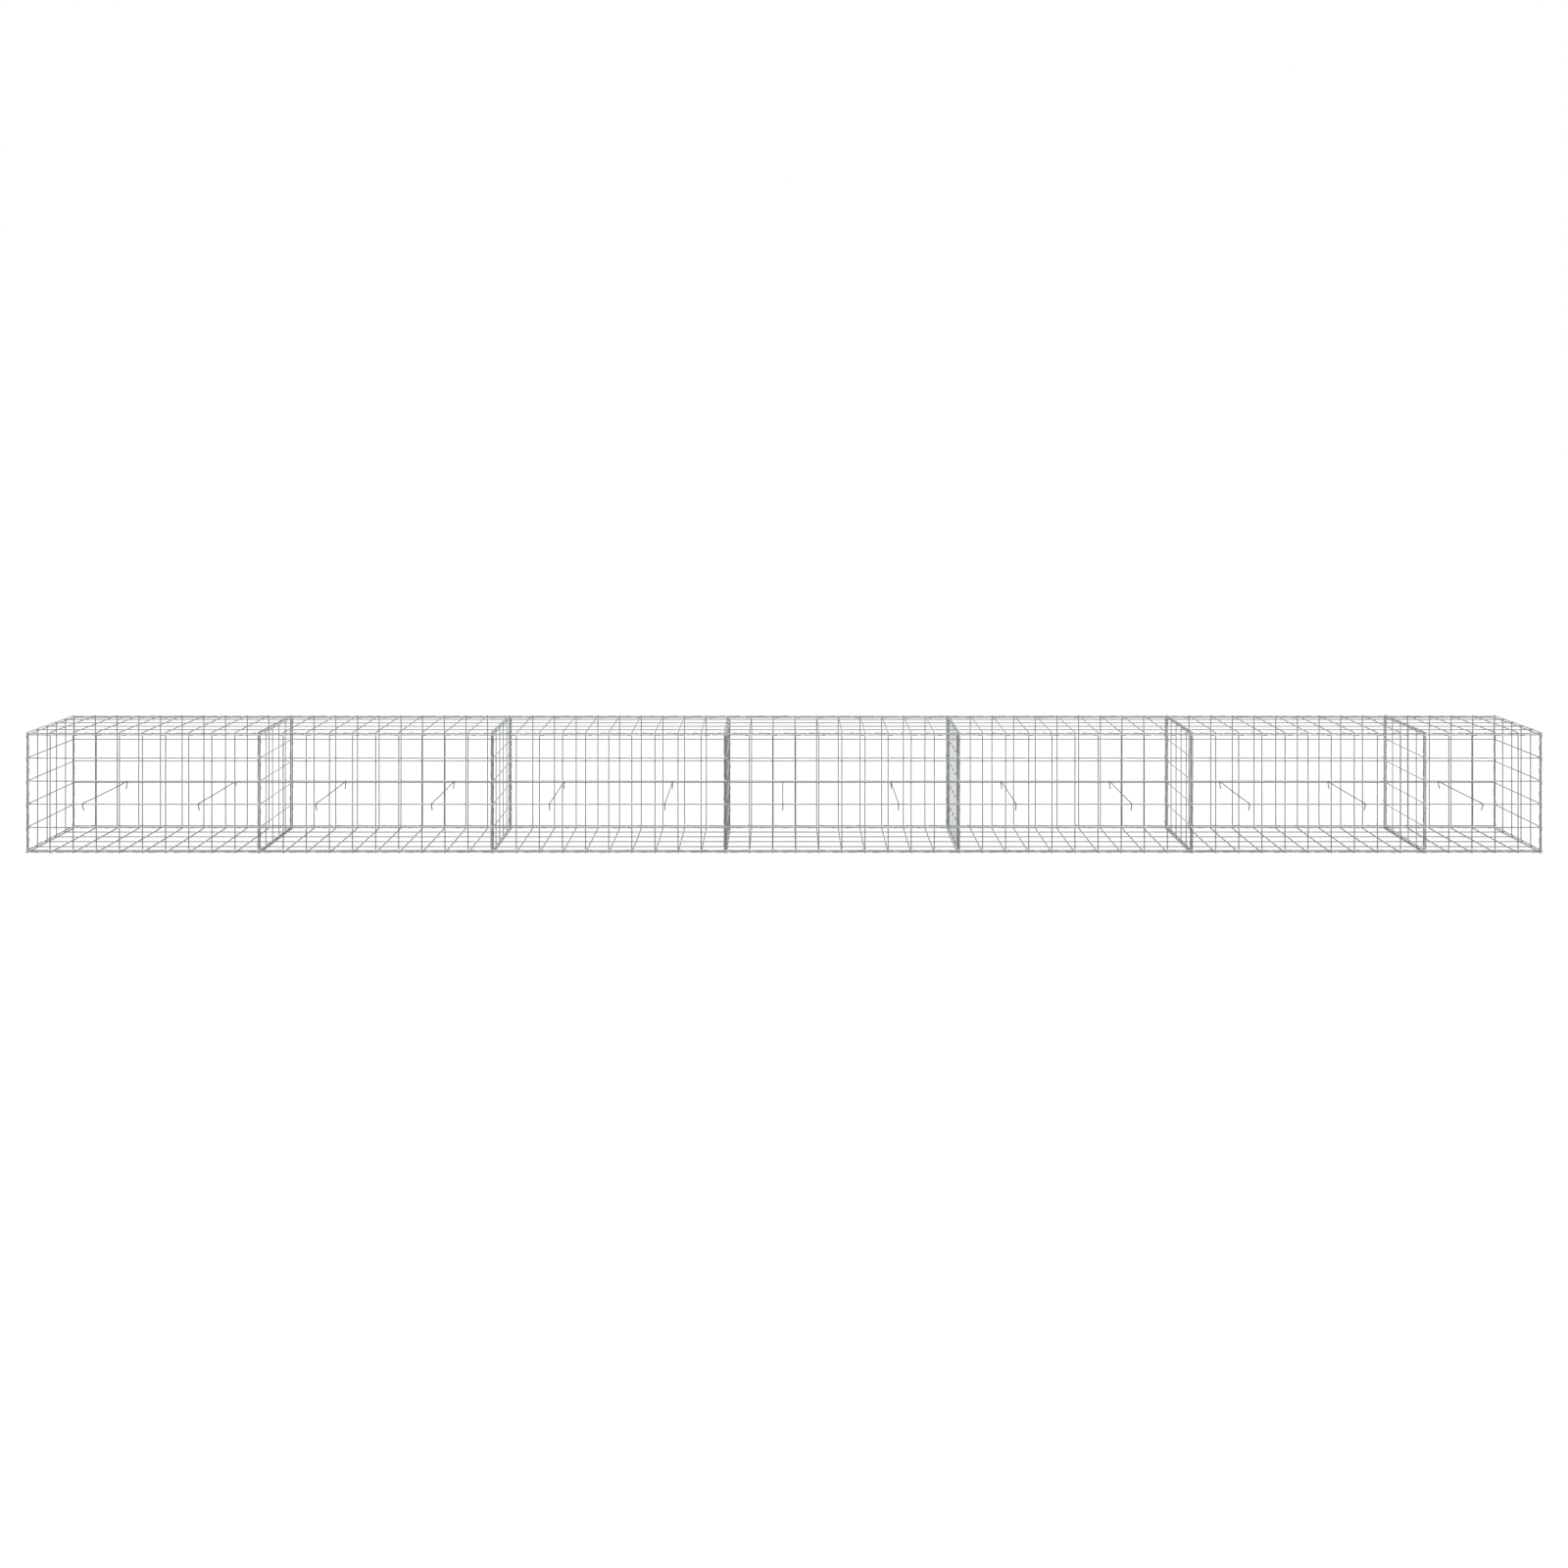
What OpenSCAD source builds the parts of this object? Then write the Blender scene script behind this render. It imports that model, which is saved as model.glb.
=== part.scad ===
// Gabion wall: an empty basket of welded wire mesh that runs on in bays.
// Each bay has a base, a lid, a front and a rear panel. End panels close the two
// ends and a partition stands at every seam. Cross ties hold front and rear together.
// X runs along the wall, the front faces -Y, and the base wires rest on Z = 0.

/* [Bays] */
// Number of full bays
full_bays = 6; // [1:1:6]
// Mesh openings along a full bay
bay_cells = 10; // [6:1:12]
// Mesh openings along the short bay at the right-hand end
last_bay_cells = 5; // [3:1:6]
// Gap between the wire ends of two panels that meet at a seam
seam_gap = 0.8; // [0.5:0.1:4]

/* [Panels] */
// Mesh openings of the upright panels, from bottom to top
height_cells = 5; // [3:1:10]
// Mesh openings of the base, the lid and the partitions, from front to rear
depth_cells = 5; // [3:1:10]
// Spacing of the mesh wires
mesh_cell = 100; // [80:5:150]
// How far the wires of a panel reach past the middle of its edge wires
edge_over = 4; // [3:0.5:8]
// Thickness of the mesh wire
wire_d = 4; // [3:0.5:5]
// How far two crossing wires are pressed into each other by their spot weld
weld_sink = 0.8; // [0.4:0.1:1]
// Clearance between a panel and the panels that it stands on or against
panel_gap = 0.3; // [0.2:0.1:1]

/* [Cross ties] */
// Mesh opening of a bay that its first tie passes, counted from 0
tie_column = 2; // [0:1:2]
// Mesh openings from one tie to the next
tie_every = 5; // [3:1:6]
// Where a tie stands across its mesh opening, 0.5 being the middle
tie_place = 0.44; // [0.3:0.01:0.7]
// Mesh row that the ties lie on, counted from the bottom
tie_row = 2; // [1:1:2]
// Thickness of the tie wire
tie_d = 4; // [2:0.5:4.5]
// Clearance between a tie and the wires that it lies on
tie_gap = 0.3; // [0.2:0.1:0.5]
// Radius of the bend at each end of a tie, at the middle of its wire
hook_r = 7; // [6:1:16]
// How far the bend turns before the straight tip
hook_turn = 125; // [110:5:150]
// Length of the straight tip
hook_tip = 26; // [8:1:32]

/* [Hidden] */
// Sides of a mesh wire, with a flat side outwards
wire_sides = 8;
bays = full_bays + 1;
// Lengths that the wires are cut to, along, up and across the wall
panel_h = cut_length(height_cells);
wall_depth = cut_length(depth_cells);
// Distance from seam to seam of a full bay, and from end to end
bay_len = cut_length(bay_cells) + seam_gap;
wall_len = full_bays * bay_len + cut_length(last_bay_cells) + seam_gap;
// Distance between the middles of two wires welded across each other
layer = wire_d - weld_sink;
// Heights of the lengthwise wires of the base, of the lower ends of the upright
// panels and of the lengthwise wires of the lid
base_z = wire_d / 2 + layer;
upright_z = base_z + wire_d / 2 + panel_gap;
lid_z = upright_z + panel_h + panel_gap + wire_d / 2;
// Reach of the partitions and end panels between the front and rear panels
partition_w = wall_depth - 2 * (layer + wire_d / 2 + panel_gap);
// Distance of an end panel's level wires from the end of the wall, in line with the
// end wires of the front and rear panels
end_inset = seam_gap / 2 + edge_over;
// Sides of a tie wire, the corner radius that leaves its flats at tie_d, and the
// straight steps of each bend
tie_sides = 8;
tie_r = tie_d / 2 / cos(180 / tie_sides);
bend_steps = 5;

galvanised = [0.62, 0.64, 0.64];
galvanised_dark = [0.50, 0.52, 0.52];

function names(stem, n) = [for (i = [1:n]) str(stem, "_", i)];
function cut_length(cells) = cells * mesh_cell + 2 * edge_over;
// Mesh openings, left-hand seam and middle of bay i, counted from 0
function openings(i) = i < full_bays ? bay_cells : last_bay_cells;
function bay_start(i) = i * bay_len - wall_len / 2;
function bay_middle(i) = bay_start(i) + (cut_length(openings(i)) + seam_gap) / 2;
// Middles of the wires across a panel side of so many openings that is cut to a length:
// the first and last stand in from the cut ends
function wire_places(cells, cut) = concat(
    edge_over - cut / 2,
    [for (k = [1:cells - 1]) (k - cells / 2) * mesh_cell],
    cut / 2 - edge_over
);

// A straight wire along X
module mesh_wire(length) {
    rotate([0, 90, 0])
        rotate(180 / wire_sides)
            cylinder(d = wire_d / cos(180 / wire_sides), h = length, center = true, $fn = wire_sides);
}

// A welded mesh of so many openings along X and Y, cut to these lengths: wires along X
// with their middles at Z = 0, and wires along Y under them
module mesh(cells, cut) {
    union() {
        for (y = wire_places(cells.y, cut.y))
            translate([0, y, 0])
                mesh_wire(cut.x);
        for (x = wire_places(cells.x, cut.x))
            translate([x, 0, -layer])
                rotate(90)
                    mesh_wire(cut.y);
    }
}

// The mesh of a panel of bay i, with the openings of its second side
module bay_mesh(i, side_cells) {
    mesh([openings(i), side_cells], [cut_length(openings(i)), cut_length(side_cells)]);
}

module base_panel(i) {
    color(galvanised_dark)
        translate([bay_middle(i), 0, base_z])
            bay_mesh(i, depth_cells);
}

module lid_panel(i) {
    color(galvanised)
        translate([bay_middle(i), 0, lid_z])
            mirror([0, 0, 1])
                bay_mesh(i, depth_cells);
}

// An upright panel, with its level wires outside
module front_panel(i) {
    color(galvanised)
        translate([bay_middle(i), -wall_depth / 2, upright_z + panel_h / 2])
            rotate([90, 0, 0])
                bay_mesh(i, height_cells);
}

module rear_panel(i) {
    color(galvanised)
        mirror([0, 1, 0])
            front_panel(i);
}

// A mesh panel standing across the wall, with its level wires at X = 0 and its upright
// wires on their left
module cross_panel() {
    translate([0, 0, upright_z + panel_h / 2])
        rotate([90, 0, 90])
            mesh([depth_cells, height_cells], [partition_w, panel_h]);
}

// The upright wires of a partition stand on the seam
module partition(i) {
    color(galvanised_dark)
        translate([bay_start(i) + layer, 0, 0])
            cross_panel();
}

module end_panel_right() {
    color(galvanised_dark)
        translate([wall_len / 2 - end_inset, 0, 0])
            cross_panel();
}

module end_panel_left() {
    color(galvanised_dark)
        mirror([1, 0, 0])
            end_panel_right();
}

// Path of the front half of a tie in the YZ plane, from the hook's tip to the straight
// run: a straight tip that leans back inwards, then a bend over the panel
function hook_path() =
    let (end = hook_point(hook_turn))
    concat(
        [end + hook_tip * [0, -cos(hook_turn), -sin(hook_turn)]],
        [for (step = [bend_steps:-1:0]) hook_point(step * hook_turn / bend_steps)]
    );
function hook_point(turn) =
    [0, -wall_depth / 2 - hook_r * sin(turn), hook_r * (cos(turn) - 1)];

// A closed wire of flat sides along a path in the YZ plane
module bent_wire(path) {
    last = len(path) - 1;
    function heading(i) = let (v = path[min(i + 1, last)] - path[max(i - 1, 0)]) v / norm(v);
    function side(k) = 360 * (k + 0.5) / tie_sides;
    points = [
        for (i = [0:last])
            for (k = [0:tie_sides - 1])
                path[i] + tie_r * (cos(side(k)) * [1, 0, 0] + sin(side(k)) * cross(heading(i), [1, 0, 0]))
    ];
    walls = [
        for (i = [0:last - 1])
            for (k = [0:tie_sides - 1])
                let (a = i * tie_sides + k, b = i * tie_sides + (k + 1) % tie_sides)
                    each [[a, b, b + tie_sides], [a, b + tie_sides, a + tie_sides]]
    ];
    start_cap = [for (k = [tie_sides - 1:-1:0]) k];
    end_cap = [for (k = [0:tie_sides - 1]) last * tie_sides + k];
    polyhedron(points = points, faces = concat([start_cap], walls, [end_cap]));
}

// A straight wire across the wall that rests on the front and rear panels, with its
// ends bent over them
module cross_tie() {
    front = hook_path();
    rear = [for (i = [len(front) - 1:-1:0]) [0, -front[i].y, front[i].z]];
    bent_wire(concat(front, rear));
}

module cross_ties() {
    tie_z = upright_z + edge_over + tie_row * mesh_cell + (wire_d + tie_d) / 2 + tie_gap;
    color(galvanised)
        for (i = [0:bays - 1])
            for (column = [tie_column:tie_every:openings(i) - 1])
                translate([bay_middle(i) + (column + tie_place - openings(i) / 2) * mesh_cell, 0, tie_z])
                    cross_tie();
}

for (i = [0:bays - 1]) {
    base_panel(i);
    front_panel(i);
    rear_panel(i);
    lid_panel(i);
}
for (i = [1:full_bays])
    partition(i);
end_panel_left();
end_panel_right();
cross_ties();
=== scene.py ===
import bpy, math
import numpy as np
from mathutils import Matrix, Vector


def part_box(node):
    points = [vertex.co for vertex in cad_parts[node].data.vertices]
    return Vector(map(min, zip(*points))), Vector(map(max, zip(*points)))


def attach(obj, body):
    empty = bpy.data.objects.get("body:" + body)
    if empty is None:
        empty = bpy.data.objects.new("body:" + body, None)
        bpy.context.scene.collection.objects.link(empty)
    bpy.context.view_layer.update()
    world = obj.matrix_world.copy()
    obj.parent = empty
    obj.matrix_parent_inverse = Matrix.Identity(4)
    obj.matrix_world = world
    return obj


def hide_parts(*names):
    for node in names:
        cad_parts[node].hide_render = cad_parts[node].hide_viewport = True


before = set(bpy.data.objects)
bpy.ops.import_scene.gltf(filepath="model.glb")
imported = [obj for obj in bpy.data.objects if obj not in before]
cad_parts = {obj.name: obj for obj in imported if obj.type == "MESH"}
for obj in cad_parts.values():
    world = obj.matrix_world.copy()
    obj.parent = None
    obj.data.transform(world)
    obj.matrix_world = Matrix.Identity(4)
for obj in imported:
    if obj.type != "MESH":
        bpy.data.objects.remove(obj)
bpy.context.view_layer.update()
scene = bpy.context.scene
rng = np.random.default_rng(11)
xAxis, yAxis, zAxis = np.eye(3)


# A batch collects wires and welds that end up in one mesh
def newBatch():
    return dict(points=[], faces=[], along=[], highlightMask=[], count=0)


# Wires swept along paths of shape (wires, rings, 3): ring point k lies at
# radius * (cos a * side + sin a * up) from its path point, with a = 2 pi (k + 1/2) / sides.
# Quads join neighbouring rings and one flat face closes each end.
def addWires(batch, paths, side, up, radius, sides, highlightMask=None):
    wires, rings = paths.shape[:2]
    a = 2 * np.pi * (np.arange(sides) + 0.5) / sides
    across = np.cos(a)[:, None] * side[..., None, :] + np.sin(a)[:, None] * up[..., None, :]
    points = paths[..., None, :] + radius[..., None, None] * across
    w, r, k = np.meshgrid(np.arange(wires), np.arange(rings - 1), np.arange(sides), indexing="ij")
    low = batch["count"] + (w * rings + r) * sides
    turn = (k + 1) % sides
    quads = np.stack([low + k, low + turn, low + sides + turn, low + sides + k], -1).reshape(-1, 4)
    ends = batch["count"] + np.arange(wires)[:, None] * rings * sides + np.arange(sides)
    batch["faces"] += [quads, ends[:, ::-1], ends + (rings - 1) * sides]
    step = np.linalg.norm(np.diff(paths, axis=1), axis=2)
    along = np.concatenate([np.zeros((wires, 1)), np.cumsum(step, 1)], 1) + rng.uniform(0, 9, (wires, 1))
    batch["points"].append(points.reshape(-1, 3))
    batch["along"].append(np.repeat(along.ravel(), sides))
    batch["highlightMask"].append(np.repeat((np.zeros_like(along) if highlightMask is None else highlightMask).ravel(), sides))
    batch["count"] += wires * rings * sides


# Half the size of a weld along its two wires and through them, the spread of that size, and how far the
# highlight painted at it reaches along a wire, all in metres like every length here
weld = dict(width=0.0034, depth=0.0026, smallest=0.88, largest=1.08, reach=0.009)


# Small squashed balls: three rings of 8 points at sin t out and cos t up, t in quarters of a half turn
def addWelds(batch, centres, sizes):
    a, t = 2 * np.pi * np.arange(8) / 8, np.pi * np.arange(1, 4) / 4
    out, tall = np.sin(t), np.cos(t)
    rings = np.stack([np.outer(out, np.cos(a)), np.outer(out, np.sin(a)), np.outer(tall, np.ones(8))], -1)
    ball = np.concatenate([rings.reshape(-1, 3), [[0, 0, 1], [0, 0, -1]]])
    k = np.arange(8)
    n = (k + 1) % 8
    quads = np.concatenate([np.stack([r + k, r + 8 + k, r + 8 + n, r + n], -1) for r in (0, 8)])
    top, bottom = np.full(8, 24), np.full(8, 25)
    tips = np.concatenate([np.stack([top, k, n], -1), np.stack([bottom, 16 + n, 16 + k], -1)])
    first = batch["count"] + np.arange(len(centres))[:, None, None] * len(ball)
    batch["faces"] += [(quads + first).reshape(-1, 4), (tips + first).reshape(-1, 3)]
    batch["points"].append((centres[:, None] + ball * sizes[:, None]).reshape(-1, 3))
    batch["along"].append(np.repeat(rng.uniform(0, 9, len(centres)), len(ball)))
    # A weld ball carries the full painted highlight
    batch["highlightMask"].append(np.ones(len(centres) * len(ball)))
    batch["count"] += len(centres) * len(ball)


# The batch becomes one piece, with the length along each wire as a UV map and the nearness of a weld, where
# the coat paints a highlight, as an attribute
def finishBatch(batch, name, material, slot, *nodes):
    data = bpy.data.meshes.new(name)
    faces = [face for part in batch["faces"] for face in part.tolist()]
    data.from_pydata(np.concatenate(batch["points"]), [], faces)
    along, highlightMask = np.concatenate(batch["along"]), np.concatenate(batch["highlightMask"])
    data.attributes.new("weldHighlight", "FLOAT", "POINT").data.foreach_set("value", highlightMask.astype(np.float32))
    corner = np.zeros(len(data.loops), np.int32)
    data.loops.foreach_get("vertex_index", corner)
    spots = np.stack([along[corner], np.zeros(len(corner))], 1)
    data.uv_layers.new(name="alongWire").data.foreach_set("uv", spots.astype(np.float32).ravel())
    data.polygons.foreach_set("use_smooth", np.ones(len(data.polygons), bool))
    data.set_sharp_from_angle(angle=math.radians(50))  # keeps the cut ends crisp
    data.materials.append(material)
    piece = bpy.data.objects.new(name, data)
    scene.collection.objects.link(piece)
    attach(piece, "root")
    if nodes:
        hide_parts(*nodes)


# Mesh wires: the cell, thickness, layer and overhang match the CAD's, and the coat is added all round.
# Each cut end narrows over the length of its chamfer. The wave is how far a wire may stray, and its
# three sine waves have these turns in radians a metre and these shares.
mesh = dict(cell=0.1, wire=0.004, coat=0.0003, layer=0.0032, over=0.004, sides=10, chamfer=0.0005,
            cutWidth=0.8, wave=0.00035, waveTurns=(5.1, 11.3, 23.0), waveShares=(0.55, 0.3, 0.15))


# Straight wires with a ring at each weld, beside it and halfway to the next. Every ring steps
# aside by a sum of slow sine waves of its distance along the wire, so that none is dead straight.
def addMeshWires(batch, starts, along, length, welds, aside):
    r, reach = mesh["wire"] / 2 + mesh["coat"], weld["reach"]
    spots = np.concatenate([(welds[:, None] + [-reach, 0, reach]).ravel(), (welds[1:] + welds[:-1]) / 2])
    chamfer = mesh["chamfer"]
    spots = np.sort(spots[(spots > 2 * chamfer) & (spots < length - 2 * chamfer)])
    s = np.concatenate([[0, chamfer], spots, [length - chamfer, length]])
    phase = rng.uniform(0, 2 * np.pi, (len(starts), 3, 1))
    turns, shares = np.array(mesh["waveTurns"])[:, None], np.array(mesh["waveShares"])[:, None]
    waves = np.sin(turns * s + phase) * shares
    paths = starts[:, None] + s[:, None] * along + waves.sum(1)[..., None] * mesh["wave"] * aside
    side = np.broadcast_to(aside, paths.shape)
    up = np.broadcast_to(np.cross(along, aside), paths.shape)
    radius = np.where((s == 0) | (s == length), mesh["cutWidth"] * r, r)
    # Painted highlight mask: 1 at a weld, falling to 0 at its reach
    highlightMask = np.clip(1 - np.abs(s[:, None] - welds).min(1) / reach, 0, 1)
    shape = (len(starts), len(s))
    radius, highlightMask = np.broadcast_to(radius, shape), np.broadcast_to(highlightMask, shape)
    addWires(batch, paths, side, up, radius, mesh["sides"], highlightMask)


# Where the wires stand across a panel side: edge wires a little in from the cut ends, others every cell
def wirePlaces(cells, cut):
    inner = (np.arange(1, cells) - cells / 2) * mesh["cell"]
    return np.concatenate([[mesh["over"] - cut / 2], inner, [cut / 2 - mesh["over"]]])


# A welded panel: wires along u through the middle, wires along v one layer behind them (against w),
# and a flattened weld in every crossing, halfway between its two wires
def addPanel(batch, middle, u, v, w, cells, cut):
    middle, u, v, w = (np.array(x, float) for x in (middle, u, v, w))
    us, vs = wirePlaces(cells[0], cut[0]), wirePlaces(cells[1], cut[1])
    behind = middle - mesh["layer"] * w
    addMeshWires(batch, middle + vs[:, None] * v - cut[0] / 2 * u, u, cut[0], us + cut[0] / 2, v)
    addMeshWires(batch, behind + us[:, None] * u - cut[1] / 2 * v, v, cut[1], vs + cut[1] / 2, u)
    gu, gv = (g.ravel()[:, None] for g in np.meshgrid(us, vs))
    spots = middle + gu * u + gv * v - mesh["layer"] / 2 * w
    size = weld["width"] * (np.abs(u) + np.abs(v)) + weld["depth"] * np.abs(w)
    addWelds(batch, spots, rng.uniform(weld["smallest"], weld["largest"], (len(spots), 1)) * size)


# A node group's or material's nodes, added and joined in one line each
def addNode(tree, kind, sockets=(), **settings):
    made = tree.nodes.new(kind)
    for name, value in settings.items():
        setattr(made, name, value)
    for key, value in dict(sockets).items():
        if isinstance(value, bpy.types.NodeSocket):
            tree.links.new(value, made.inputs[key])
        else:
            made.inputs[key].default_value = value
    return made


def mixColour(tree, amount, first, second):
    made = tree.nodes.new("ShaderNodeMix")
    made.data_type = "RGBA"
    for key, value in ((0, amount), (6, first), (7, second)):
        if isinstance(value, bpy.types.NodeSocket):
            tree.links.new(value, made.inputs[key])
        else:
            made.inputs[key].default_value = value
    return made.outputs[2]


def rgba(colour):
    return (*colour, 1.0)


# Zinc patterns: their scales, how strongly each one tells in the colour, how much the patches and specks
# roughen, and what the crystals add to the bumps. Low is painted shade, a darkening towards the ground,
# which fades out at the height given as its reach; weld is the strength of the highlight painted at the
# welds.
pattern = dict(patchScale=16.0, slowScale=7.0, speckScale=700.0, crystalScale=260.0, slow=0.35,
               crystal=0.3, speck=0.3, low=0.45, shadeReach=0.5, weld=0.75, patchRough=0.14,
               speckRough=0.08, crystalBump=0.25, bumpDepth=0.0004)


# Zinc coat: dull patches a few centimetres long, fine mottling, small crystals, slow change along the wire,
# painted shade darker towards the ground and a painted highlight at the welds
def makeZincGroup():
    group = bpy.data.node_groups.new("zincCoat", "ShaderNodeTree")
    for name, kind in (("Place", "Vector"), ("Along", "Vector"), ("Highlight", "Float"), ("Colour", "Color"),
                       ("DullAndShade", "Color"), ("Bright", "Color"), ("Rough", "Float")):
        group.interface.new_socket(name, in_out="INPUT", socket_type="NodeSocket" + kind)
    for name, kind in (("Colour", "Color"), ("Rough", "Float"), ("Height", "Float")):
        group.interface.new_socket(name, in_out="OUTPUT", socket_type="NodeSocket" + kind)
    given = group.nodes.new("NodeGroupInput").outputs
    result = group.nodes.new("NodeGroupOutput")
    place, along = given["Place"], given["Along"]

    def noise(vector, scale, detail, roughness=0.5):
        settings = {"Vector": vector, "Scale": scale, "Detail": detail, "Roughness": roughness}
        return addNode(group, "ShaderNodeTexNoise", settings).outputs["Fac"]

    def stretch(value, **ends):
        settings = {"Value": value, **{key.replace("_", " "): end for key, end in ends.items()}}
        return addNode(group, "ShaderNodeMapRange", settings).outputs[0]

    def times(value, factor):
        return addNode(group, "ShaderNodeMath", {0: value, 1: factor}, operation="MULTIPLY").outputs[0]

    def addTimes(value, factor, other):
        settings = {0: value, 1: factor, 2: other}
        return addNode(group, "ShaderNodeMath", settings, operation="MULTIPLY_ADD").outputs[0]

    patchMask = stretch(noise(place, pattern["patchScale"], 4.0, 0.6), From_Min=0.42, From_Max=0.66)
    slowMask = stretch(noise(along, pattern["slowScale"], 2.0), From_Min=0.35, From_Max=0.7)
    speck = noise(place, pattern["speckScale"], 3.0, 0.55)
    speckMask = stretch(speck, From_Min=0.3, From_Max=0.7)
    settings = {"Vector": place, "Scale": pattern["crystalScale"]}
    crystals = addNode(group, "ShaderNodeTexVoronoi", settings, feature="F1").outputs["Color"]
    crystalMask = addNode(group, "ShaderNodeSeparateColor", {"Color": crystals}).outputs
    height = addNode(group, "ShaderNodeSeparateXYZ", {"Vector": place}).outputs["Z"]
    # Painted shade: the colour turns towards the dull colour near the ground and fades out at the reach
    # height
    low = stretch(height, From_Max=pattern["shadeReach"], To_Min=pattern["low"], To_Max=0.0)
    paler = mixColour(group, 0.5, given["Colour"], given["Bright"])
    colour = mixColour(group, patchMask, given["Colour"], given["DullAndShade"])
    colour = mixColour(group, times(slowMask, pattern["slow"]), colour, paler)
    colour = mixColour(group, times(crystalMask[0], pattern["crystal"]), colour, paler)
    colour = mixColour(group, times(speckMask, pattern["speck"]), colour, given["DullAndShade"])
    colour = mixColour(group, low, colour, given["DullAndShade"])
    # Painted highlight: near a weld the colour turns to the bright colour
    colour = mixColour(group, times(given["Highlight"], pattern["weld"]), colour, given["Bright"])
    rough = addTimes(patchMask, pattern["patchRough"], given["Rough"])
    rough = addTimes(speckMask, pattern["speckRough"], rough)
    lumps = addTimes(crystalMask[1], pattern["crystalBump"], speck)
    group.links.new(colour, result.inputs["Colour"])
    group.links.new(rough, result.inputs["Rough"])
    group.links.new(lumps, result.inputs["Height"])
    return group


def makeZinc(name, group, colour, dullAndShade, brightAndHighlight, rough, metal, bump):
    material = bpy.data.materials.new(name)
    material.use_nodes = True
    material.diffuse_color = rgba(colour)
    tree = material.node_tree
    shader = tree.nodes["Principled BSDF"]
    place = tree.nodes.new("ShaderNodeTexCoord")
    # Nearness of a weld, where a highlight is painted
    highlightMask = addNode(tree, "ShaderNodeAttribute", attribute_name="weldHighlight")
    coat = addNode(tree, "ShaderNodeGroup", node_tree=group)
    tree.links.new(place.outputs["Object"], coat.inputs["Place"])
    tree.links.new(place.outputs["UV"], coat.inputs["Along"])
    tree.links.new(highlightMask.outputs["Fac"], coat.inputs["Highlight"])
    for key, value in (("Colour", colour), ("DullAndShade", dullAndShade), ("Bright", brightAndHighlight)):
        coat.inputs[key].default_value = rgba(value)
    coat.inputs["Rough"].default_value = rough
    lumps = {"Height": coat.outputs["Height"], "Strength": bump, "Distance": pattern["bumpDepth"]}
    lump = addNode(tree, "ShaderNodeBump", lumps)
    tree.links.new(coat.outputs["Colour"], shader.inputs["Base Color"])
    tree.links.new(coat.outputs["Rough"], shader.inputs["Roughness"])
    tree.links.new(lump.outputs["Normal"], shader.inputs["Normal"])
    shader.inputs["Metallic"].default_value = metal
    return material


# Panels and end panels, then partitions, ties and coils
zinc = dict(colour=(0.29, 0.316, 0.318), dullAndShade=(0.16, 0.176, 0.178), brightAndHighlight=(0.55, 0.575, 0.575),
            rough=0.45, metal=0.3, bump=0.35)
# The partitions' zinc is a paler copy of the panels', painted light that lifts the shade where many wires
# overlap at the seams
litCrossZinc = dict(colour=(0.46, 0.488, 0.49), dullAndShade=(0.34, 0.365, 0.367), brightAndHighlight=(0.68, 0.7, 0.7),
                 rough=0.42, metal=0.3, bump=0.35)
# The ties' zinc is a darker copy of the panels', painted shade for their hooks
shadedTieZinc = dict(colour=(0.12, 0.134, 0.136), dullAndShade=(0.085, 0.095, 0.097), brightAndHighlight=(0.28, 0.3, 0.3),
               rough=0.38, metal=0.3, bump=0.25)
coilZinc = dict(colour=(0.82, 0.835, 0.835), dullAndShade=(0.7, 0.72, 0.72), brightAndHighlight=(0.88, 0.89, 0.89),
                rough=0.34, metal=0.3, bump=0.2)
zincGroup = makeZincGroup()
meshMaterial = makeZinc("meshZinc", zincGroup, **zinc)
litCrossMaterial = makeZinc("litCrossZinc", zincGroup, **litCrossZinc)
shadedTieMaterial = makeZinc("shadedTieZinc", zincGroup, **shadedTieZinc)
coilMaterial = makeZinc("coilZinc", zincGroup, **coilZinc)
print("materials made")


# Panels, from the boxes of their nodes
def nodeBox(node):
    low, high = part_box(node)
    return np.array(low), np.array(high)


def cellsOf(length):
    return int(round(length / mesh["cell"]))


half = mesh["wire"] / 2
bays = sum(1 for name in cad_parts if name.startswith("base_panel_"))
# Along, across and out of each panel's lengthwise wires, the panel's thin axis, and the side of its box
# where those wires lie: the upper side of the base, the lower one of the lid, the outer one of the rest
panelKinds = dict(base_panel=(xAxis, yAxis, zAxis, 2, 1), lid_panel=(xAxis, yAxis, -zAxis, 2, -1),
                  front_panel=(xAxis, zAxis, -yAxis, 1, -1), rear_panel=(xAxis, zAxis, yAxis, 1, 1))
for kind, (u, v, w, flat, facing) in panelKinds.items():
    for i in range(1, bays + 1):
        node = f"{kind}_{i}"
        low, high = nodeBox(node)
        middle, size = (low + high) / 2, high - low
        middle[flat] = high[flat] - half if facing > 0 else low[flat] + half
        cut = (size @ u, size @ np.abs(v))
        batch = newBatch()
        addPanel(batch, middle, u, v, w, (cellsOf(cut[0]), cellsOf(cut[1])), cut)
        finishBatch(batch, node + "_wires", meshMaterial, "mesh_wire", node)
for node in [f"partition_{i}" for i in range(1, bays)] + ["end_panel_left", "end_panel_right"]:
    low, high = nodeBox(node)
    middle, size = (low + high) / 2, high - low
    outer = -1 if node == "end_panel_left" else 1
    middle[0] = high[0] - half if outer > 0 else low[0] + half
    batch = newBatch()
    cells = (cellsOf(size[1]), cellsOf(size[2]))
    addPanel(batch, middle, yAxis, zAxis, outer * xAxis, cells, (size[1], size[2]))
    # Partitions take the paler copy of the zinc, painted light for the crowded seams
    material = litCrossMaterial if node.startswith("partition") else meshMaterial
    finishBatch(batch, node + "_wires", material, "mesh_wire", node)
print("panels made")

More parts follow.
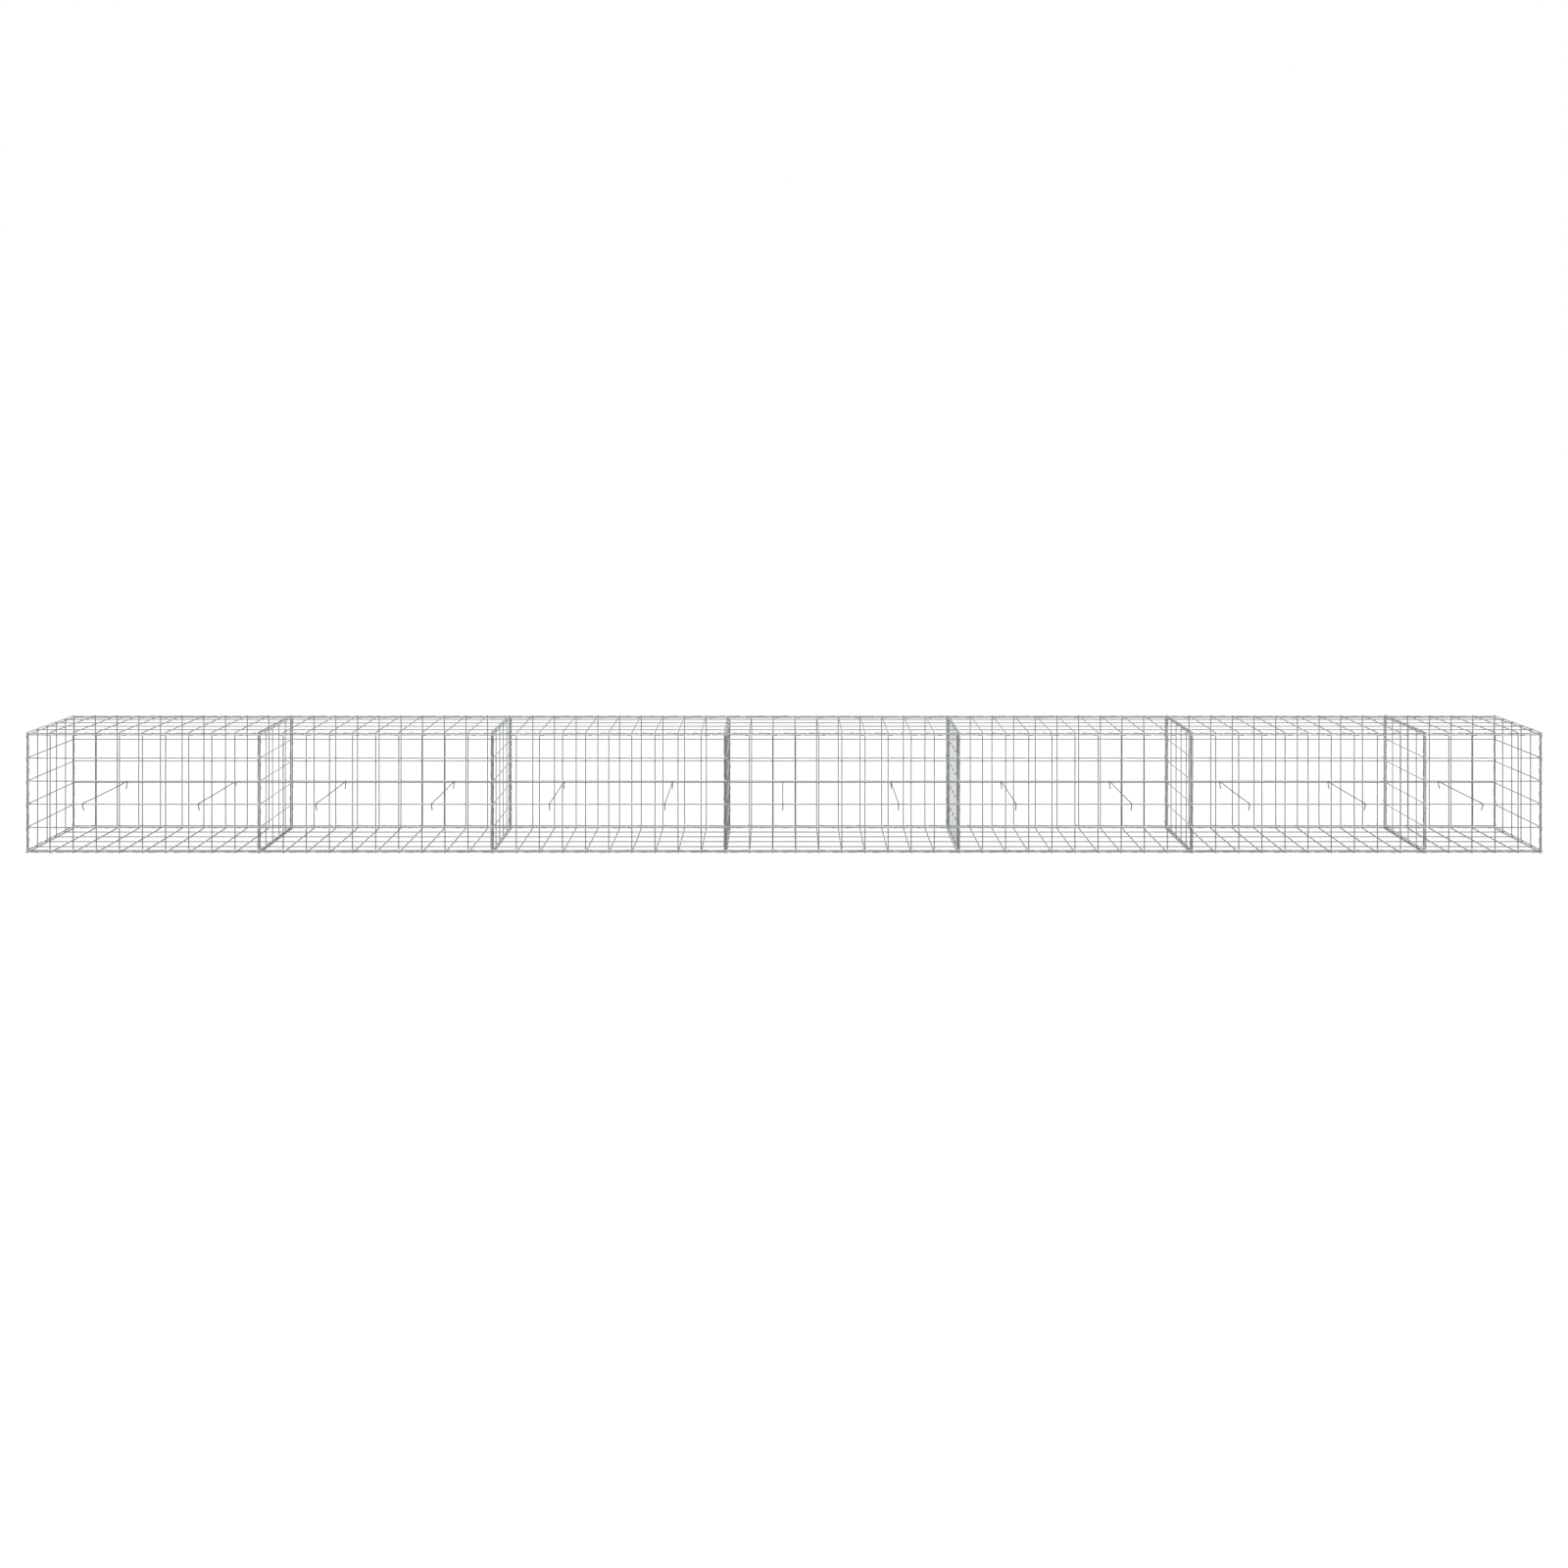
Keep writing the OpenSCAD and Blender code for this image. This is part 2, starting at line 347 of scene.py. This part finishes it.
frontLow, frontHigh = nodeBox("front_panel_1")
baseLow, baseHigh = nodeBox("base_panel_1")
lidLow, lidHigh = nodeBox("lid_panel_1")
bayBoxes = [nodeBox(f"base_panel_{i}") for i in range(1, bays + 1)]
bayEnds = np.array([[low[0], high[0]] for low, high in bayBoxes])
seams = (bayEnds[1:, 0] + bayEnds[:-1, 1]) / 2


# Radius of a tie's wire and of its bend, the bend's turn in degrees, length of the tip, how many cells
# into a bay the first tie stands and how many lie between ties, how far the run strays and sags, and
# the rings of the bend, the run and the tip
tie = dict(wire=0.0023, bend=0.007, turn=125, tip=0.026, firstCell=2.44, everyCells=5, stray=0.0005,
           strayTurns=9, sag=0.0012, sagReach=0.25, cutWidth=0.75, sides=12, bendSteps=12, runSteps=20,
           tipPlaces=(0.5, 0.97, 1.0))


# Cross ties: a run, a bend and a straight tip at each end, in one upright plane. After a turn t the bend
# is bend * sin t further out and bend * (1 - cos t) further down than the end of the run. The run
# strays along the wall by a sine of its place and sags by sag * (1 - (place / sagReach) squared).
def makeTies():
    tieHigh = nodeBox("cross_ties")[1]
    columns = [tie["firstCell"], tie["firstCell"] + tie["everyCells"]]
    spans = [((a + b) / 2, cellsOf(b - a)) for a, b in bayEnds]
    places = [(mid, c, cells) for mid, cells in spans for c in columns if c < cells]
    xs = np.array([mid + (c - cells / 2) * mesh["cell"] for mid, c, cells in places])
    runZ, runY = tieHigh[2] - tie["wire"], tieHigh[1] - tie["wire"] - tie["bend"]
    turn = np.radians(np.linspace(0, tie["turn"], tie["bendSteps"]))
    bend = np.stack([runY + tie["bend"] * np.sin(turn), runZ + tie["bend"] * (np.cos(turn) - 1)], 1)
    inward = np.array([np.cos(turn[-1]), -np.sin(turn[-1])])
    tipPoints = bend[-1] + np.array(tie["tipPlaces"])[:, None] * tie["tip"] * inward
    hook = np.concatenate([bend, tipPoints])
    run = np.stack([np.linspace(-runY, runY, tie["runSteps"] + 2)[1:-1], np.full(tie["runSteps"], runZ)], 1)
    flat = np.concatenate([(hook * [-1, 1])[::-1], run, hook])
    paths = np.broadcast_to(np.column_stack([np.zeros(len(flat)), flat]), (len(xs), len(flat), 3)).copy()
    phase = rng.uniform(0, 6, (len(xs), 1))
    paths[..., 0] += xs[:, None] + tie["stray"] * np.sin(paths[..., 1] * tie["strayTurns"] + phase)
    paths[..., 2] -= tie["sag"] * np.clip(1 - (paths[..., 1] / tie["sagReach"]) ** 2, 0, 1)
    heading = np.gradient(paths, axis=1)
    heading /= np.linalg.norm(heading, axis=2, keepdims=True)
    side = np.broadcast_to(xAxis, paths.shape)
    radius = np.full(len(flat), tie["wire"])
    radius[[0, -1]] *= tie["cutWidth"]
    radius = np.broadcast_to(radius, paths.shape[:2])
    batch = newBatch()
    addWires(batch, paths, side, np.cross(heading, side), radius, tie["sides"])
    finishBatch(batch, "cross_ties_bent", shadedTieMaterial, "tie_wire", "cross_ties")


makeTies()
print("ties made")


# Radius of a coil's wire and its play round the wires that it holds, the length of a turn along the wall
# and where the first one points out, how far its outer and inner half turns keep from the upright wires,
# how many of those a coil can meet, the gap between coils, and the rings of a turn
binder = dict(wire=0.0009, play=0.0002, turnLong=0.1093, firstOut=0.0419, clearOut=0.022, clearIn=0.012,
              uprights=7, gap=0.003, cutWidth=0.8, sides=8, steps=28)


# Centre of the circle through two or three wires, and the radius of a coil that just holds them:
# |p - c| is the same for all of them, so 2 (p - p0) . c = |p|^2 - |p0|^2
def aroundWires(points):
    p = np.array(points, float)
    middle = p.mean(0)
    if len(p) == 3:
        middle = np.linalg.solve(2 * (p[1:] - p[0]), (p[1:] ** 2).sum(1) - (p[0] ** 2).sum())
    return middle, np.linalg.norm(p[0] - middle) + half + binder["wire"] + binder["play"]


# Coils: a point turns left-handed round an axis while it moves along it, at
# start + s * along + radius * (cos t * out + sin t * over), t = -2 pi (s - first) / turn.
# Each half turn is pushed along, by a raised cosine, until it passes clear of the posts that cross there.
def addCoils(batch, starts, along, out, over, length, turn, first, radius, posts=None, lowest=None):
    s = np.linspace(binder["gap"] / 2, length - binder["gap"] / 2, int(length / turn * binder["steps"]))
    shift = np.zeros((len(starts), len(s)))
    if posts is not None:
        passes = np.arange(-2, int(2 * length / turn) + 4)
        meets = first + passes * turn / 2
        clear = np.where(passes % 2 == 0, binder["clearOut"], binder["clearIn"])
        nearest = np.abs(posts[:, None] - meets[:, None]).argmin(2)
        gap = meets - np.take_along_axis(posts, nearest, 1)
        push = np.where(np.abs(gap) < clear, np.where(gap < 0, -clear, clear) - gap, 0)
        place = (s - meets[0]) / (turn / 2)
        whole = np.floor(place).astype(int)
        blend = (1 - np.cos(np.pi * (place - whole))) / 2
        shift = push[:, whole] * (1 - blend) + push[:, whole + 1] * blend
    t = -2 * np.pi * (s - first) / turn
    spoke = np.cos(t)[:, None] * out[:, None] + np.sin(t)[:, None] * over[:, None]
    paths = starts[:, None] + (s + shift)[..., None] * along + radius[:, None, None] * spoke
    if lowest is not None:
        paths[..., 2] = np.maximum(paths[..., 2], lowest)
    heading = np.gradient(paths, axis=1)
    heading /= np.linalg.norm(heading, axis=2, keepdims=True)
    side = spoke - (heading * spoke).sum(2, keepdims=True) * heading
    side /= np.linalg.norm(side, axis=2, keepdims=True)
    thick = np.full(paths.shape[:2], binder["wire"])
    thick[:, [0, -1]] *= binder["cutWidth"]
    addWires(batch, paths, side, np.cross(heading, side), thick, binder["sides"])


def rows(vector, count):
    return np.repeat(np.array([vector], float), count, 0)


over, partHigh = mesh["over"], nodeBox("partition_1")[1]
endLow, endHigh = nodeBox("end_panel_right")
cutEnd, cutGap = bayEnds[-1, 1], seams[0] - bayEnds[0, 1]
bottomWire, topWire = frontLow[2] + over, frontHigh[2] - over
sideY, uprightY, levelY = baseHigh[1] - over, -(frontHigh[1] - half), -(frontLow[1] + half)
partY, partX = partHigh[1] - over, partHigh[0] - half - seams[0]
baseEdge, lidEdge = baseHigh[2] - half, lidLow[2] + half
baseCross, lidCross = baseLow[2] + half, lidHigh[2] - half
upLength, acrossLength = frontHigh[2] - frontLow[2], 2 * partHigh[1]
levels = (bottomWire + topWire) / 2 + wirePlaces(cellsOf(upLength), upLength)

# Coils along the wall, two to a full bay and one in the short one
halfBay = (seams[1] - seams[0]) / 2
longStarts = np.append(seams[0] - 2 * halfBay + np.arange(2 * (bays - 1)) * halfBay, seams[-1])
allPosts = np.concatenate([(a + b) / 2 + wirePlaces(cellsOf(b - a), b - a) for a, b in bayEnds])
nearest = np.argsort(np.abs(allPosts - longStarts[:, None] - halfBay / 2), 1)
nearPosts = np.sort(nearest[:, :binder["uprights"]], 1)
posts = allPosts[nearPosts] - longStarts[:, None]
n = len(longStarts)
longCoils = (("bottom_front", -1, baseEdge, bottomWire, -1), ("bottom_rear", 1, baseEdge, bottomWire, -1),
             ("top_front", -1, lidEdge, topWire, 1), ("top_rear", 1, lidEdge, topWire, 1))
for name, facing, edge, panelWire, outward in longCoils:
    (y, z), radius = aroundWires([(facing * sideY, edge), (facing * levelY, panelWire)])
    batch = newBatch()
    starts = np.column_stack([longStarts, np.full(n, y), np.full(n, z)])
    addCoils(batch, starts, xAxis, rows(outward * zAxis, n), rows(facing * yAxis, n), halfBay,
             binder["turnLong"], binder["firstOut"], np.full(n, radius), posts)
    finishBatch(batch, f"coils_{name}", coilMaterial, "tie_wire")

# Upright coils: round three wires at a seam and two at an end, in front of or beside the level wires
for name, facing in (("upright_front", -1), ("upright_rear", 1)):
    wires = [(-over - cutGap, facing * uprightY), (over + cutGap, facing * uprightY), (0, facing * partY)]
    (x, y), radius = aroundWires(wires)
    batch = newBatch()
    n = len(seams)
    starts = np.column_stack([seams + x, np.full(n, y), np.full(n, frontLow[2])])
    firstOut = levels[1] - frontLow[2]
    addCoils(batch, starts, zAxis, rows(facing * yAxis, n), rows(xAxis, n), upLength, mesh["cell"],
             firstOut, np.full(n, radius))
    (x, y), radius = aroundWires([(cutEnd - over, facing * uprightY), (endLow[0] + half, facing * partY)])
    for end in (-1, 1):
        start = np.array([[end * x, y, frontLow[2]]])
        addCoils(batch, start, zAxis, rows(end * xAxis, 1), rows(facing * yAxis, 1), upLength,
                 mesh["cell"], firstOut, np.array([radius]))
    finishBatch(batch, f"coils_{name}", coilMaterial, "tie_wire")

# Coils across the wall, with the lower ones pressed flat under the base
acrossCoils = (("across_base", -1, baseCross, bottomWire, baseLow[2] - binder["wire"]),
               ("across_lid", 1, lidCross, topWire, None))
for name, outward, cross, panelWire, lowest in acrossCoils:
    (x, z), radius = aroundWires([(-over - cutGap, cross), (over + cutGap, cross), (partX, panelWire)])
    (endX, endZ), endRadius = aroundWires([(cutEnd - over, cross), (endHigh[0] - half, panelWire)])
    lineX = np.concatenate([seams + x, [-endX, endX]])
    lineZ = np.append(np.full(len(seams), z), [endZ, endZ])
    radii = np.append(np.full(len(seams), radius), [endRadius, endRadius])
    n = len(lineX)
    batch = newBatch()
    starts = np.column_stack([lineX, np.full(n, -acrossLength / 2), lineZ])
    addCoils(batch, starts, yAxis, rows(outward * zAxis, n), rows(xAxis, n), acrossLength, mesh["cell"],
             acrossLength / 2 - mesh["cell"] / 2, radii, lowest=lowest)
    finishBatch(batch, f"coils_{name}", coilMaterial, "tie_wire")
print("binders made")


# How far the ground lies under the frame's lowest face, its grey, its glow to the camera and its reach
ground = dict(below=0.0023, colour=0.3, glow=0.75, reach=60)


# A square of ground whose glow and lit grey together look white, but for the object's soft shadow
def makeGround():
    r, z = ground["reach"], -ground["below"]
    data = bpy.data.meshes.new("ground")
    data.from_pydata([(-r, -r, z), (r, -r, z), (r, r, z), (-r, r, z)], [], [(0, 1, 2, 3)])
    material = bpy.data.materials.new("whiteGround")
    material.use_nodes = True
    tree = material.node_tree
    tree.nodes.clear()
    seen = rayMask(tree)
    glow = addNode(tree, "ShaderNodeEmission", {"Color": (1, 1, 1, 1)})
    strength = addNode(tree, "ShaderNodeMath", {0: seen, 1: ground["glow"]}, operation="MULTIPLY")
    tree.links.new(strength.outputs[0], glow.inputs["Strength"])
    plain = addNode(tree, "ShaderNodeBsdfDiffuse", {"Color": rgba((ground["colour"],) * 3)})
    both = addNode(tree, "ShaderNodeAddShader", {0: glow.outputs[0], 1: plain.outputs[0]})
    end = tree.nodes.new("ShaderNodeOutputMaterial")
    tree.links.new(both.outputs[0], end.inputs["Surface"])
    data.materials.append(material)
    floor = bpy.data.objects.new("ground", data)
    scene.collection.objects.link(floor)


# 1 for what the camera, a reflection or a clear surface sees, 0 for bounced light
def rayMask(tree):
    path = tree.nodes.new("ShaderNodeLightPath")
    mask = path.outputs["Is Camera Ray"]
    for kind in ("Is Glossy Ray", "Is Transmission Ray"):
        both = {0: mask, 1: path.outputs[kind]}
        mask = addNode(tree, "ShaderNodeMath", both, operation="MAXIMUM").outputs[0]
    return mask


makeGround()

# Sky strength on the object, and a soft sun with its tilt, turn and width in degrees
light = dict(sky=0.55, sun=2.25, sunTilt=20, sunTurn=-20, sunAngle=50)
world = bpy.data.worlds.new("studio")
world.use_nodes = True
scene.world = world
tree = world.node_tree
back = tree.nodes["Background"]
level = addNode(tree, "ShaderNodeMapRange", {"Value": rayMask(tree), "To Min": light["sky"], "To Max": 1.0})
tree.links.new(level.outputs[0], back.inputs["Strength"])
back.inputs["Color"].default_value = (1, 1, 1, 1)

lamp = bpy.data.lights.new("softSun", "SUN")
lamp.energy, lamp.angle = light["sun"], math.radians(light["sunAngle"])
sun = bpy.data.objects.new("softSun", lamp)
sun.rotation_euler = (math.radians(light["sunTilt"]), 0, math.radians(light["sunTurn"]))
scene.collection.objects.link(sun)

# A level camera, shifted down to the wall, with its lens and sensor in millimetres
view = dict(place=(-0.0004, -7.861, 1.715), lens=40.376, sensor=36, shift=-0.20875, farEnd=500)
camera = bpy.data.objects.new("camera", bpy.data.cameras.new("camera"))
camera.location = view["place"]
camera.rotation_euler = (math.radians(90), 0, 0)
camera.data.lens, camera.data.sensor_width = view["lens"], view["sensor"]
camera.data.shift_y = view["shift"]
camera.data.clip_end = view["farEnd"]
scene.collection.objects.link(camera)
scene.camera = camera
scene.view_settings.view_transform = "Standard"
print("studio made")
